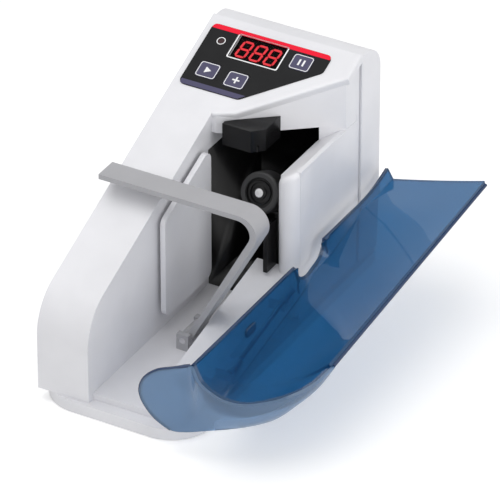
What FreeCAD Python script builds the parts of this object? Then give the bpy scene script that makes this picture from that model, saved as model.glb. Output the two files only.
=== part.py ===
import FreeCAD, Part
import math
import os

import Sketcher

# Banknote counting machine, millimetres.
# Layout axes: across from the left edge, along from the front edge, up from the table.

doc = FreeCAD.newDocument("banknote_counter")
sheet = doc.addObject("Spreadsheet::Sheet", "dims")


class Size:
    """A number together with the sheet expression that gives it."""

    def __init__(self, value, text):
        self.value = float(value)
        self.text = text

    def __add__(self, other):
        other = size(other)
        return Size(self.value + other.value, f"({self.text} + {other.text})")

    def __sub__(self, other):
        other = size(other)
        return Size(self.value - other.value, f"({self.text} - {other.text})")

    def __mul__(self, other):
        other = size(other)
        return Size(self.value * other.value, f"({self.text} * {other.text})")

    def __truediv__(self, other):
        other = size(other)
        return Size(self.value / other.value, f"({self.text} / {other.text})")

    def __radd__(self, other):
        return size(other) + self

    def __rsub__(self, other):
        return size(other) - self

    def __rmul__(self, other):
        return size(other) * self

    def __neg__(self):
        return Size(-self.value, f"(-{self.text})")


def size(number):
    return number if isinstance(number, Size) else Size(number, repr(float(number)))


def sine(angle):
    return Size(math.sin(math.radians(angle.value)), f"sin({angle.text})")


def cosine(angle):
    return Size(math.cos(math.radians(angle.value)), f"cos({angle.text})")


def tangent(angle):
    return Size(math.tan(math.radians(angle.value)), f"tan({angle.text})")


cell_count = 0


def cell(name, value):
    global cell_count
    cell_count += 1
    sheet.set(f"A{cell_count}", name.replace("_", " "))
    sheet.set(f"B{cell_count}", str(value))
    sheet.setAlias(f"B{cell_count}", name)
    return Size(value, f"dims.{name}")


# Overall case
case_length = cell("case_length", 177)
case_width = cell("case_width", 80)
case_top = cell("case_top", 116)
shell = cell("shell_thickness", 2.2)
case_inset = cell("case_inset", 2)
running_gap = cell("running_gap", 0.3)
fit_gap = cell("fit_gap", 0.05)
foot_depth = cell("foot_depth", 2.2)
foot_radius = cell("foot_radius", 5)
foot_edge = cell("foot_edge", 16)
base_thickness = cell("base_thickness", 5.8)
base_corner = cell("base_corner", 20)
base_back_corner = cell("base_back_corner", 6)

# Stations along the machine, counted from the rear cover and the head
rear_depth = cell("rear_depth", 18)
head_depth = cell("head_depth", 47)
feed_lead = cell("feed_lead", 9)
rear_start = case_length - rear_depth
head_front = rear_start - head_depth
feed_along = head_front - feed_lead

# Sloping top and left housing
slope_angle = cell("slope_angle", 23)
slope_start = cell("slope_start", 48)
nose_radius = cell("nose_radius", 24)
housing_width = cell("housing_width", 28)
slope_rise = tangent(slope_angle)


def slope_height(along):
    return slope_start + slope_rise * along


# Note channel, ledge and right wall
floor_top = cell("floor_top", 9)
floor_front = cell("floor_front", 6)
channel_gap = cell("channel_gap", 2)
ledge_front = cell("ledge_front", 30)
ledge_inset = cell("ledge_inset", 7)
ledge_right = case_width - ledge_inset
ledge_drop = cell("ledge_drop", 4.5)
wall_depth = cell("wall_depth", 54)
wall_inset = cell("wall_inset", 3)
wall_thickness = cell("wall_thickness", 10)
wall_front = rear_start - wall_depth
wall_right = case_width - wall_inset
wall_left = wall_right - wall_thickness
ramp_height = cell("ramp_height", 4)
ramp_width = cell("ramp_width", 8)

# Feed wheel, shaft and motor, tilted down to the back
feed_tilt = cell("feed_tilt", 25)
feed_side_gap = cell("feed_side_gap", 1)
feed_drop = cell("feed_drop", 26.5)
feed_height = slope_height(head_front) - feed_drop
wheel_radius = cell("wheel_radius", 9)
wheel_width = cell("wheel_width", 11)
feed_across = wall_left - wheel_radius - feed_side_gap
channel_right = feed_across - channel_gap
tyre_thickness = cell("tyre_thickness", 2)
shaft_radius = cell("shaft_radius", 2)
frame_gap = cell("frame_gap", 0.6)
frame_plate = cell("frame_plate", 3)
frame_half_width = cell("frame_half_width", 6.5)
frame_above = cell("frame_above", 8)
leg_offset = cell("leg_offset", 26)
leg_depth = cell("leg_depth", 14)
leg_drop = cell("leg_drop", 21)
bush_radius = cell("bush_radius", 3.5)
motor_radius = cell("motor_radius", 6)
motor_length = cell("motor_length", 25)
motor_gap = cell("motor_gap", 4)

# Feed block over the note stack
block_offset = cell("block_offset", 6.5)
block_side_gap = cell("block_side_gap", 3)
block_lead = cell("block_lead", 2.5)
block_left = housing_width + block_offset
block_right = feed_across - block_side_gap
block_front = head_front - block_lead
block_chamfer = cell("block_chamfer", 5)
block_clear = cell("block_clear", 6)
block_height = cell("block_height", 11)
arm_height = cell("arm_height", 3.3)
block_bottom = feed_height + wheel_radius + block_clear
block_top = block_bottom + block_height

# Head with the keypad
head_bottom = block_bottom + arm_height
wall_gap = cell("wall_gap", 3)
wall_top = head_bottom - wall_gap
head_raise = cell("head_raise", 2)
head_lip_offset = cell("head_lip_offset", 2)
head_corner_offset = cell("head_corner_offset", 8)
head_corner_depth = cell("head_corner_depth", 3.5)
head_lip = housing_width + head_lip_offset
head_corner_across = head_lip + head_corner_offset
head_corner_along = head_front + head_corner_depth
head_corner_radius = cell("head_corner_radius", 5)
head_side_depth = cell("head_side_depth", 12.5)
head_side_along = rear_start - head_side_depth
rear_gap = cell("rear_gap", 0.6)
rear_corner = cell("rear_corner", 13)

# Keypad
overlay_thickness = cell("overlay_thickness", 0.4)
overlay_corner = cell("overlay_corner", 3)
overlay_left = cell("overlay_left", 5)
overlay_width = cell("overlay_width", 61)
overlay_notch = cell("overlay_notch", 6)
overlay_right = overlay_left + overlay_width
overlay_notch_across = head_lip + overlay_notch
overlay_front = cell("overlay_front", 10)
overlay_side = cell("overlay_side", 36)
overlay_back = cell("overlay_back", 46)
key_width = cell("key_width", 10)
key_depth = cell("key_depth", 8.5)
key_height = cell("key_height", 4.2)
key_corner = cell("key_corner", 1.5)
key_travel = cell("key_travel", 0.6)
mode_key_inset = cell("mode_key_inset", 12)
mode_key_across = overlay_right - mode_key_inset
window_width = cell("window_width", 24.3)
window_depth = cell("window_depth", 13.3)
window_gap = cell("window_gap", 4.7)
window_across = mode_key_across - key_width / 2 - window_gap - window_width
window_slope = cell("window_slope", 31)
lamp_radius = cell("lamp_radius", 1.5)
lamp_gap = cell("lamp_gap", 7)
lamp_across = window_across - lamp_gap
lamp_slope = cell("lamp_slope", 37.5)
board_depth = cell("board_depth", 8.4)
board_thickness = cell("board_thickness", 1.6)
switch_size = cell("switch_size", 6)

# Pusher plate and rods
pusher_gap = cell("pusher_gap", 2)
pusher_thickness = cell("pusher_thickness", 2.5)
pusher_length = cell("pusher_length", 41)
pusher_back = feed_along
pusher_front = pusher_back - pusher_length
pusher_bottom = cell("pusher_bottom", 18)
pusher_drop = cell("pusher_drop", 6)
pusher_corner = cell("pusher_corner", 4)
rod_radius = cell("rod_radius", 2.5)
rod_length = cell("rod_length", 23)
rod_height = cell("rod_height", 42)
rod_inset = cell("rod_inset", 10)
rod_first = pusher_front + rod_inset
rod_pitch = cell("rod_pitch", 20)
spring_radius = cell("spring_radius", 4)
spring_length = cell("spring_length", 12)

# Bill guide
guide_along = cell("guide_along", 58)
guide_depth = cell("guide_depth", 12)
guide_sheet = cell("guide_sheet", 2.5)
guide_foot_gap = cell("guide_foot_gap", 10)
guide_foot_across = channel_right - guide_foot_gap
guide_pivot_height = cell("guide_pivot_height", 14)
guide_pin_radius = cell("guide_pin_radius", 1.5)
guide_barrel = cell("guide_barrel", 3)
guide_overhang = cell("guide_overhang", 7)
guide_reach = case_width + guide_overhang
guide_height = cell("guide_height", 86)
guide_left = cell("guide_left", 1)
guide_corner = cell("guide_corner", 9)
guide_ear = cell("guide_ear", 3)

# Tray door and its hinge
hinge_tilt = cell("hinge_tilt", 12.4)
hinge_outset = cell("hinge_outset", 1)
hinge_across = case_width + hinge_outset
hinge_front_height = cell("hinge_front_height", 14.5)
hinge_pin_radius = cell("hinge_pin_radius", 1.1)
knuckle_radius = cell("knuckle_radius", 3.8)
knuckle_length = cell("knuckle_length", 12)
knuckle_first = cell("knuckle_first", 42)
hinge_end_gap = cell("hinge_end_gap", 17)
bracket_length = cell("bracket_length", 8)
bracket_radius = cell("bracket_radius", 1.9)
bracket_seat = cell("bracket_seat", 2)
door_sheet = cell("door_sheet", 2.2)
door_edge_offset = cell("door_edge_offset", 0.5)
door_edge_across = hinge_across + door_edge_offset
door_edge_height = cell("door_edge_height", 45)
door_crease_offset = cell("door_crease_offset", 4)
door_crease_across = hinge_across + door_crease_offset
door_crease_drop = cell("door_crease_drop", 4.7)
door_width = cell("door_width", 52)
door_lip_across = hinge_across + door_width
door_lip_front = cell("door_lip_front", 39)
door_lip_back = cell("door_lip_back", 57)
door_front = cell("door_front", 12)
door_end_gap = cell("door_end_gap", 1)
door_back = case_length - door_end_gap
scoop_front = cell("scoop_front", -7)
scoop_reach = cell("scoop_reach", 21)
scoop_width = cell("scoop_width", 41)
scoop_left = hinge_across - scoop_reach
scoop_right = hinge_across + scoop_width
scoop_bottom = cell("scoop_bottom", 27)
scoop_slant = cell("scoop_slant", 2)
scoop_low = scoop_left + scoop_slant
notch_along = feed_along
notch_radius = cell("notch_radius", 14)

# Batteries and rear cover
cell_radius = cell("cell_radius", 7.25)
cell_length = cell("cell_length", 50.5)
cell_pitch = cell("cell_pitch", 14.8)
cell_first = (case_width - 3 * cell_pitch) / 2
cell_bottom = cell("cell_bottom", 20)
contact_thickness = cell("contact_thickness", 1)
shelf_thickness = cell("shelf_thickness", 2)
hatch_margin = cell("hatch_margin", 8)
hatch_left = hatch_margin
hatch_right = case_width - hatch_margin
hatch_bottom = cell("hatch_bottom", 14)
hatch_top = cell("hatch_top", 78)
jack_radius = cell("jack_radius", 4)
jack_depth = cell("jack_depth", 9)
jack_inset = cell("jack_inset", 20)
jack_across = case_width - jack_inset
jack_height = cell("jack_height", 92)

# Screws and sensors
screw_radius = cell("screw_radius", 1.5)
screw_head_radius = cell("screw_head_radius", 2.75)
screw_head_height = cell("screw_head_height", 2)
screw_length = cell("screw_length", 8)
screw_recess = cell("screw_recess", 0.5)
screw_inset = cell("screw_inset", 20)
screw_lead = cell("screw_lead", 19)
sensor_width = cell("sensor_width", 2)
sensor_depth = cell("sensor_depth", 9)
sensor_drop = cell("sensor_drop", 12)

base_top = base_thickness
hinge_rise = tangent(hinge_tilt)
nodes = []


def hinge_height(along):
    return hinge_front_height + hinge_rise * along


def bind(obj, prop, amount):
    obj.setExpression(prop, size(amount).text)


def place(obj, across, along, up, axis=None, angle=None):
    """Puts an object at a layout point, turned about an axis."""
    if axis is not None:
        turn = FreeCAD.Rotation(FreeCAD.Vector(*axis), size(angle).value)
        obj.Placement = FreeCAD.Placement(FreeCAD.Vector(0, 0, 0), turn)
        bind(obj, "Placement.Rotation.Angle", angle)
    bind(obj, "Placement.Base.x", size(across) - case_width / 2)
    bind(obj, "Placement.Base.y", size(along) - case_length / 2)
    bind(obj, "Placement.Base.z", up)
    return obj


def node(obj, label):
    obj.Label = label
    nodes.append(obj)
    return obj


def box(low, high):
    """A block between two layout corners."""
    obj = doc.addObject("Part::Box", "block")
    for prop, start, end in zip(("Length", "Width", "Height"), low, high):
        bind(obj, prop, size(end) - start)
    return place(obj, *low)


def turned_box(width, depth, height, spot, angle):
    """A block tilted about the across axis, starting at a layout point."""
    obj = doc.addObject("Part::Box", "block")
    for prop, amount in zip(("Length", "Width", "Height"), (width, depth, height)):
        bind(obj, prop, amount)
    return place(obj, *spot, (1, 0, 0), angle)


def cylinder(radius, length, spot, axis=None, angle=None):
    obj = doc.addObject("Part::Cylinder", "round")
    bind(obj, "Radius", radius)
    bind(obj, "Height", length)
    return place(obj, *spot, axis, angle)


def cut(base, *tools):
    for tool in tools:
        obj = doc.addObject("Part::Cut", "cut")
        obj.Base = base
        obj.Tool = tool
        base = obj
    return base


def fuse(*pieces):
    obj = doc.addObject("Part::MultiFuse", "fuse")
    obj.Shapes = list(pieces)
    return obj


def group(*pieces):
    obj = doc.addObject("Part::Compound", "group")
    obj.Links = list(pieces)
    return obj


def plane_of(body, role):
    return next(item for item in body.Origin.OriginFeatures if item.Role == role)


def bound(sketch, kind, *where_and_amount):
    """Adds one dimension to a sketch and ties it to the sheet."""
    amount = size(where_and_amount[-1])
    number = sketch.addConstraint(Sketcher.Constraint(kind, *where_and_amount[:-1], amount.value))
    sketch.setExpression(f"Constraints[{number}]", amount.text)


def trimmed_corner(before, corner, after, radius):
    """The two ends, the centre and the angles of a rounded corner."""
    towards = (before - corner).normalize()
    away = (after - corner).normalize()
    half = towards.getAngle(away) / 2
    reach = radius / math.tan(half)
    middle = (towards + away).normalize()
    return corner + towards * reach, corner + away * reach, corner + middle * (radius / math.sin(half))


def arc_between(centre, start, end, radius):
    """The corner's arc, counter-clockwise, and whether it runs from start to end."""
    first = math.atan2(start.y - centre.y, start.x - centre.x)
    last = math.atan2(end.y - centre.y, end.x - centre.x)
    forward = (last - first) % (2 * math.pi) < math.pi
    low, high = (first, last) if forward else (last, first)
    circle = Part.Circle(centre, FreeCAD.Vector(0, 0, 1), radius)
    return Part.ArcOfCircle(circle, low, high), forward


def outline(sketch, points):
    """Draws a closed outline; a point's third value rounds its corner."""
    count = len(points)
    spots = [FreeCAD.Vector(size(p[0]).value, size(p[1]).value, 0) for p in points]
    radii = [p[2] if len(p) > 2 else None for p in points]
    leave, arrive, arcs = {}, {}, {}
    for index, radius in enumerate(radii):
        leave[index] = arrive[index] = spots[index]
        if radius is not None:
            before, after = spots[index - 1], spots[(index + 1) % count]
            ends = trimmed_corner(before, spots[index], after, radius.value)
            arrive[index], leave[index] = ends[0], ends[1]
            arcs[index] = arc_between(ends[2], ends[0], ends[1], radius.value)
    lines = [sketch.addGeometry(Part.LineSegment(leave[i], arrive[(i + 1) % count])) for i in range(count)]
    for index, radius in enumerate(radii):
        incoming, outgoing = lines[index - 1], lines[index]
        if radius is None:
            sketch.addConstraint(Sketcher.Constraint("Coincident", incoming, 2, outgoing, 1))
            bound(sketch, "DistanceX", -1, 1, outgoing, 1, points[index][0])
            bound(sketch, "DistanceY", -1, 1, outgoing, 1, points[index][1])
            continue
        arc, forward = arcs[index]
        curve = sketch.addGeometry(arc)
        start, end = (1, 2) if forward else (2, 1)
        corner = sketch.addGeometry(Part.Point(spots[index]), True)
        sketch.addConstraint(Sketcher.Constraint("Tangent", incoming, 2, curve, start))
        sketch.addConstraint(Sketcher.Constraint("Tangent", outgoing, 1, curve, end))
        sketch.addConstraint(Sketcher.Constraint("PointOnObject", corner, 1, incoming))
        sketch.addConstraint(Sketcher.Constraint("PointOnObject", corner, 1, outgoing))
        bound(sketch, "DistanceX", -1, 1, corner, 1, points[index][0])
        bound(sketch, "DistanceY", -1, 1, corner, 1, points[index][1])
        bound(sketch, "Radius", curve, radius)


def sketch_on(body, role):
    sketch = body.newObject("Sketcher::SketchObject", "sketch")
    sketch.AttachmentSupport = [(plane_of(body, role), "")]
    sketch.MapMode = "FlatFace"
    return sketch


def prism(role, outlines, length, spot, axis=None, angle=None):
    """A body padded from its outlines; the first is the edge and the rest are holes."""
    body = doc.addObject("PartDesign::Body", "body")
    sketch = sketch_on(body, role)
    for points in outlines:
        outline(sketch, points)
    pad = body.newObject("PartDesign::Pad", "pad")
    pad.Profile = sketch
    bind(pad, "Length", length)
    body.Tip = pad
    return place(body, *spot, axis, angle)


def side_prism(points, left, right):
    """A prism across the machine from an outline of (along, up)."""
    return prism("YZ_Plane", [points], size(right) - left, (left, 0, 0))


def plan_prism(points, bottom, top):
    """An upright prism from an outline of (across, along)."""
    return prism("XY_Plane", [points], size(top) - bottom, (0, 0, bottom))


def rectangle(low, high, radius=None):
    corners = [(low[0], low[1]), (high[0], low[1]), (high[0], high[1]), (low[0], high[1])]
    return [corner if radius is None else (*corner, radius) for corner in corners]


def on_panel(across, slope, raised):
    """A layout point on the keypad panel: distance up the slope and height over it."""
    along = head_front + slope * cosine(slope_angle) - raised * sine(slope_angle)
    up = slope_height(head_front) + head_raise + slope * sine(slope_angle) + raised * cosine(slope_angle)
    return across, along, up


def on_feed_axis(distance, below=0, right=0):
    """A layout point on the tilted feed axis: distance back and offset below it."""
    along = feed_along + distance * cosine(feed_tilt) - below * sine(feed_tilt)
    up = feed_height - distance * sine(feed_tilt) - below * cosine(feed_tilt)
    return feed_across + right, along, up


def on_hinge(distance):
    """A layout point on the door's tilted hinge axis."""
    along = distance * cosine(hinge_tilt)
    return hinge_across, along, hinge_front_height + distance * sine(hinge_tilt)


feed_turn = -(90 + feed_tilt)
hinge_turn = -(90 - hinge_tilt)
key_spots = {"start_key": (15, 20.5), "add_key": (30, 19.5), "mode_key": (mode_key_across, 38)}
screw_right = case_width - screw_inset
screw_back = rear_start - screw_lead
screw_spots = [(14, 40), (14, screw_back), (screw_right, 50), (screw_right, screw_back)]


def base_plate():
    corners = [(0, 0, base_corner), (case_width, 0, base_corner)]
    corners += [(case_width, case_length, base_back_corner), (0, case_length, base_back_corner)]
    plate = plan_prism(corners, 0, base_top)
    pockets = [cylinder(foot_radius + fit_gap, foot_depth, (*spot, 0)) for spot in foot_spots()]
    for across, along in screw_spots:
        pockets.append(cylinder(screw_radius + fit_gap, base_top, (across, along, 0)))
        recess = screw_recess + screw_head_height
        pockets.append(cylinder(screw_head_radius + fit_gap, recess, (across, along, 0)))
    node(cut(plate, *pockets), "base_plate")


def foot_spots():
    far_across = case_width - foot_edge
    far_along = case_length - foot_edge
    return [(a, b) for a in (foot_edge, far_across) for b in (foot_edge, far_along)]


def rubber_feet():
    feet = [cylinder(foot_radius, foot_depth, (*spot, 0)) for spot in foot_spots()]
    node(group(*feet), "rubber_feet")


def case_screws():
    screws = []
    for across, along in screw_spots:
        head = cylinder(screw_head_radius, screw_head_height, (across, along, screw_recess))
        shank_bottom = screw_recess + screw_head_height
        shank = cylinder(screw_radius, screw_length - screw_head_height, (across, along, shank_bottom))
        screws.append(fuse(head, shank))
    node(group(*screws), "case_screws")


def housing_outline(inside):
    front = case_inset + inside
    top = slope_height(case_inset) - inside
    back_top = slope_height(head_front) + head_raise - inside
    return [
        (front, base_top), (front, top, nose_radius - inside), (head_front - inside, back_top),
        (head_front - inside, head_bottom - inside), (rear_start - inside, head_bottom - inside),
        (rear_start - inside, base_top),
    ]


def ledge_height(along):
    return hinge_height(along) - ledge_drop


def ledge_outline(inside):
    front = ledge_front + inside
    return [
        (front, base_top), (front, ledge_height(front) - inside),
        (wall_front, ledge_height(wall_front) - inside), (wall_front, base_top),
    ]


def wall_outline():
    return [
        (wall_left, base_top), (wall_left, wall_top - ramp_height), (wall_left + ramp_width, wall_top),
        (wall_right, wall_top), (wall_right, base_top),
    ]


def front_case():
    left_outer = side_prism(housing_outline(size(0)), case_inset, housing_width)
    floor = box((housing_width - shell, floor_front, base_top), (ledge_right, rear_start, floor_top))
    ledge = side_prism(ledge_outline(size(0)), channel_right, ledge_right)
    # The right wall's outline stands across the machine, so its pad runs forward from the rear.
    wall = prism("XZ_Plane", [wall_outline()], rear_start - wall_front, (0, rear_start, 0))
    bulkhead = box((case_inset, rear_start - shell, base_top), (wall_right, rear_start, head_bottom))
    solid = fuse(left_outer, floor, ledge, wall, bulkhead)
    left_inner = side_prism(housing_outline(shell), case_inset + shell, housing_width - shell)
    ledge_inner = side_prism(ledge_outline(shell), channel_right + shell, wall_left - shell)
    wall_inner = box((wall_left + shell, wall_front + shell, base_top),
                     (wall_right - shell, rear_start - shell, wall_top - ramp_height - shell))
    holes = [cylinder(screw_radius + fit_gap, screw_length, (a, b, base_top)) for a, b in screw_spots]
    for index in range(2):
        spot = (housing_width - 2 * shell, rod_first + index * rod_pitch, rod_height)
        holes.append(cylinder(rod_radius + fit_gap, 3 * shell, spot, (0, 1, 0), 90))
    node(cut(solid, left_inner, ledge_inner, wall_inner, *holes), "front_case")


def head_plan(inside):
    left, right = case_inset + inside, wall_right - inside
    front = head_front + inside
    return [
        (left, front), (head_lip, front),
        (head_corner_across, head_corner_along + inside, head_corner_radius),
        (right, head_side_along + inside), (right, rear_start - inside), (left, rear_start - inside),
    ]


def above_slope(drop):
    """Everything over the sloping top, lowered by a distance."""
    front, back, sky = size(0), case_length, 2 * case_top
    low = slope_height(front) + head_raise - drop
    high = slope_height(back) + head_raise - drop
    return side_prism([(front, low), (back, high), (back, sky), (front, sky)], 0, case_width)


def head_cover():
    outer = cut(plan_prism(head_plan(size(0)), head_bottom, 1.5 * case_top), above_slope(size(0)))
    top_drop = shell / cosine(slope_angle)
    inner = cut(plan_prism(head_plan(shell), head_bottom, 1.5 * case_top), above_slope(top_drop))
    holes = [panel_block(key_width, key_depth, 4 * shell, *spot, -2 * shell, running_gap)
             for spot in key_spots.values()]
    holes.append(panel_block(window_width, window_depth, 4 * shell, *window_middle(), -2 * shell, fit_gap))
    lamp_hole = on_panel(lamp_across, lamp_slope, -2 * shell)
    holes.append(cylinder(lamp_radius + fit_gap, 4 * shell, lamp_hole, (1, 0, 0), slope_angle))
    node(cut(outer, inner, *holes), "head_cover")


def window_middle():
    return window_across + window_width / 2, window_slope + window_depth / 2


def panel_block(width, depth, height, across, slope, raised, margin=0):
    """A block lying in the panel's slope, centred on a panel point."""
    wide, deep = size(width) + 2 * size(margin), size(depth) + 2 * size(margin)
    spot = on_panel(across - wide / 2, slope - deep / 2, size(raised))
    return turned_box(wide, deep, height, spot, slope_angle)


def keypad_overlay():
    edge = [
        (overlay_left, overlay_front, overlay_corner), (overlay_notch_across, overlay_front, overlay_corner),
        (overlay_right, overlay_side, overlay_corner), (overlay_right, overlay_back, overlay_corner),
        (overlay_left, overlay_back, overlay_corner),
    ]
    openings = []
    for across, slope in key_spots.values():
        half_width, half_depth = key_width / 2 + running_gap, key_depth / 2 + running_gap
        low, high = (across - half_width, slope - half_depth), (across + half_width, slope + half_depth)
        openings.append(rectangle(low, high, key_corner + running_gap))
    low = (window_across - fit_gap, window_slope - fit_gap)
    high = (window_across + window_width + fit_gap, window_slope + window_depth + fit_gap)
    openings.append(rectangle(low, high))
    spot = on_panel(0, size(0), size(0))
    plate = prism("XY_Plane", [edge, *openings], overlay_thickness, spot, (1, 0, 0), slope_angle)
    lamp_hole = on_panel(lamp_across, lamp_slope, -shell)
    hole = cylinder(lamp_radius + fit_gap, 2 * shell, lamp_hole, (1, 0, 0), slope_angle)
    node(cut(plate, hole), "keypad_overlay")


def keys():
    for label, (across, slope) in key_spots.items():
        low = (across - key_width / 2, slope - key_depth / 2)
        high = (across + key_width / 2, slope + key_depth / 2)
        spot = on_panel(0, size(0), overlay_thickness - key_height)
        cap = prism("XY_Plane", [rectangle(low, high, key_corner)], key_height, spot, (1, 0, 0), slope_angle)
        node(cap, label)


def display():
    glass_bottom = -shell
    glass = panel_block(window_width, window_depth, overlay_thickness + shell, *window_middle(), glass_bottom)
    node(glass, "display_window")
    module = panel_block(window_width, window_depth, board_depth - shell, *window_middle(), -board_depth)
    node(module, "led_display")
    spot = on_panel(lamp_across, lamp_slope, -board_depth)
    lamp = cylinder(lamp_radius, board_depth + overlay_thickness, spot, (1, 0, 0), slope_angle)
    node(lamp, "indicator_lamp")


def control_board():
    width, depth = overlay_right - overlay_left - shell, overlay_back - overlay_front - 2 * shell
    across, slope = (overlay_left + overlay_right) / 2, (overlay_front + overlay_back) / 2
    board = panel_block(width, depth, board_thickness, across, slope, -(board_depth + board_thickness))
    corner = plan_prism(head_plan(2 * shell), head_bottom, 1.5 * case_top)
    trimmed = doc.addObject("Part::Common", "trimmed")
    trimmed.Base, trimmed.Tool = board, corner
    node(trimmed, "control_board")
    height = board_depth + overlay_thickness - key_height - key_travel - running_gap
    switches = [panel_block(switch_size, switch_size, height, *spot, -board_depth)
                for spot in key_spots.values()]
    node(group(*switches), "tact_switches")


def rear_cover():
    start = rear_start + rear_gap
    back_top = [(start, base_top), (start, case_top), (case_length, case_top, rear_corner),
                (case_length, base_top)]
    outer = side_prism(back_top, case_inset, case_width - case_inset)
    inner_back = case_length - shell
    inner_top = case_top - shell
    hollow = [(start, base_top), (start, inner_top), (inner_back, inner_top, rear_corner - shell),
              (inner_back, base_top)]
    inner = side_prism(hollow, case_inset + shell, case_width - case_inset - shell)
    opening = box((hatch_left, inner_back - shell, hatch_bottom),
                  (hatch_right, case_length + shell, hatch_top))
    jack_hole = cylinder(jack_radius + fit_gap, 3 * shell, (jack_across, inner_back - shell, jack_height),
                         (1, 0, 0), -90)
    shelves = []
    for low in (shelf_bottom(), shelf_top()):
        left, right = case_inset + shell, case_width - case_inset - shell
        shelves.append(box((left, start, low), (right, inner_back - running_gap, low + shelf_thickness)))
    node(fuse(cut(outer, inner, opening, jack_hole), *shelves), "rear_cover")


def shelf_bottom():
    return cell_bottom - contact_thickness - shelf_thickness


def shelf_top():
    return cell_bottom + cell_length + contact_thickness


def cell_along():
    return rear_start + rear_gap + running_gap + cell_radius


def batteries():
    across = [cell_first + index * cell_pitch for index in range(4)]
    tubes = [cylinder(cell_radius, cell_length, (spot, cell_along(), cell_bottom)) for spot in across]
    node(group(*tubes), "battery_cells")
    plates = []
    for bottom in (cell_bottom - contact_thickness, cell_bottom + cell_length):
        low = (cell_first - cell_radius, cell_along() - cell_radius / 2, bottom)
        high = (cell_first + 3 * cell_pitch + cell_radius, cell_along() + cell_radius / 2,
                bottom + contact_thickness)
        plates.append(box(low, high))
    node(group(*plates), "battery_contacts")
    low = (hatch_left + running_gap, case_length - shell, hatch_bottom + running_gap)
    high = (hatch_right - running_gap, case_length, hatch_top - running_gap)
    node(box(low, high), "battery_door")
    socket = cylinder(jack_radius, jack_depth, (jack_across, case_length - jack_depth, jack_height),
                      (1, 0, 0), -90)
    bore = cylinder(jack_radius / 2, jack_depth, (jack_across, case_length - jack_depth / 2, jack_height),
                    (1, 0, 0), -90)
    node(cut(socket, bore), "power_socket")


def feed_drive():
    hub_radius = wheel_radius - tyre_thickness
    hub = cylinder(hub_radius, wheel_width, on_feed_axis(size(0)), (1, 0, 0), feed_turn)
    bore = cylinder(shaft_radius, wheel_width, on_feed_axis(size(0)), (1, 0, 0), feed_turn)
    node(cut(hub, bore), "feed_wheel")
    tyre = cylinder(wheel_radius, wheel_width, on_feed_axis(size(0)), (1, 0, 0), feed_turn)
    core = cylinder(hub_radius, wheel_width, on_feed_axis(size(0)), (1, 0, 0), feed_turn)
    node(cut(tyre, core), "feed_tyre")
    shaft_end = frame_start() + frame_plate + motor_gap
    shaft = cylinder(shaft_radius, shaft_end, on_feed_axis(size(0)), (1, 0, 0), feed_turn)
    node(shaft, "feed_shaft")


def frame_start():
    return wheel_width + frame_gap


def drive_parts():
    start = frame_start()
    plate_spot = on_feed_axis(start, -frame_above, -frame_half_width)
    depth = frame_above + motor_radius + frame_plate
    plate = turned_box(2 * frame_half_width, depth, frame_plate, plate_spot, feed_turn)
    saddle_start = start + frame_plate
    saddle_spot = on_feed_axis(saddle_start, motor_radius, -frame_half_width)
    saddle = turned_box(2 * frame_half_width, frame_plate, motor_gap + motor_length, saddle_spot, feed_turn)
    leg_front = feed_along + leg_offset
    leg_low = (feed_across - frame_half_width, leg_front, floor_top)
    leg_high = (feed_across + frame_half_width, leg_front + leg_depth, feed_height - leg_drop)
    leg = box(leg_low, leg_high)
    hole = cylinder(bush_radius, 3 * frame_plate, on_feed_axis(start - frame_plate), (1, 0, 0), feed_turn)
    motor_room = cylinder(motor_radius, motor_length, on_feed_axis(saddle_start + motor_gap),
                          (1, 0, 0), feed_turn)
    node(cut(fuse(plate, saddle, leg), hole, motor_room), "drive_frame")
    bush = cylinder(bush_radius, frame_plate, on_feed_axis(start), (1, 0, 0), feed_turn)
    bush_bore = cylinder(shaft_radius + fit_gap, frame_plate, on_feed_axis(start), (1, 0, 0), feed_turn)
    node(cut(bush, bush_bore), "shaft_bush")
    motor_start = saddle_start + motor_gap
    motor = cylinder(motor_radius, motor_length, on_feed_axis(motor_start), (1, 0, 0), feed_turn)
    node(motor, "gear_motor")


def feed_block():
    top_plan = [
        (block_left, block_front), (block_right - block_chamfer, block_front),
        (block_right, block_front + block_chamfer), (block_right, diagonal(block_right) - running_gap),
        (head_corner_across, head_corner_along - running_gap), (block_left, head_front - running_gap),
    ]
    top = plan_prism(top_plan, block_bottom, block_top)
    under = head_bottom - running_gap
    arm = box((block_left, head_front - 2 * running_gap, block_bottom),
              (block_right - shell, rear_start - shell, under))
    node(fuse(top, arm), "feed_block")


def diagonal(across):
    """The head's front edge at a distance across."""
    run = (head_side_along - head_corner_along) / (wall_right - head_corner_across)
    return head_corner_along + (across - head_corner_across) * run


def pusher():
    left = housing_width + pusher_gap
    top_back = slope_height(pusher_back) - pusher_drop
    top_front = slope_height(pusher_front) - pusher_drop
    face = [
        (pusher_front, pusher_bottom, pusher_corner), (pusher_front, top_front, pusher_corner),
        (pusher_back, top_back, pusher_corner), (pusher_back, pusher_bottom, pusher_corner),
    ]
    plate = side_prism(face, left, left + pusher_thickness)
    pieces, springs = [plate], []
    for index in range(2):
        along = rod_first + index * rod_pitch
        rod_start = left + shell - rod_length
        pieces.append(cylinder(rod_radius, rod_length, (rod_start, along, rod_height), (0, 1, 0), 90))
        spring_start = housing_width - shell - spring_length
        sleeve = cylinder(spring_radius, spring_length, (spring_start, along, rod_height), (0, 1, 0), 90)
        room = cylinder(rod_radius + running_gap, spring_length, (spring_start, along, rod_height),
                        (0, 1, 0), 90)
        springs.append(cut(sleeve, room))
    node(fuse(*pieces), "pusher_plate")
    node(group(*springs), "pusher_springs")


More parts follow.
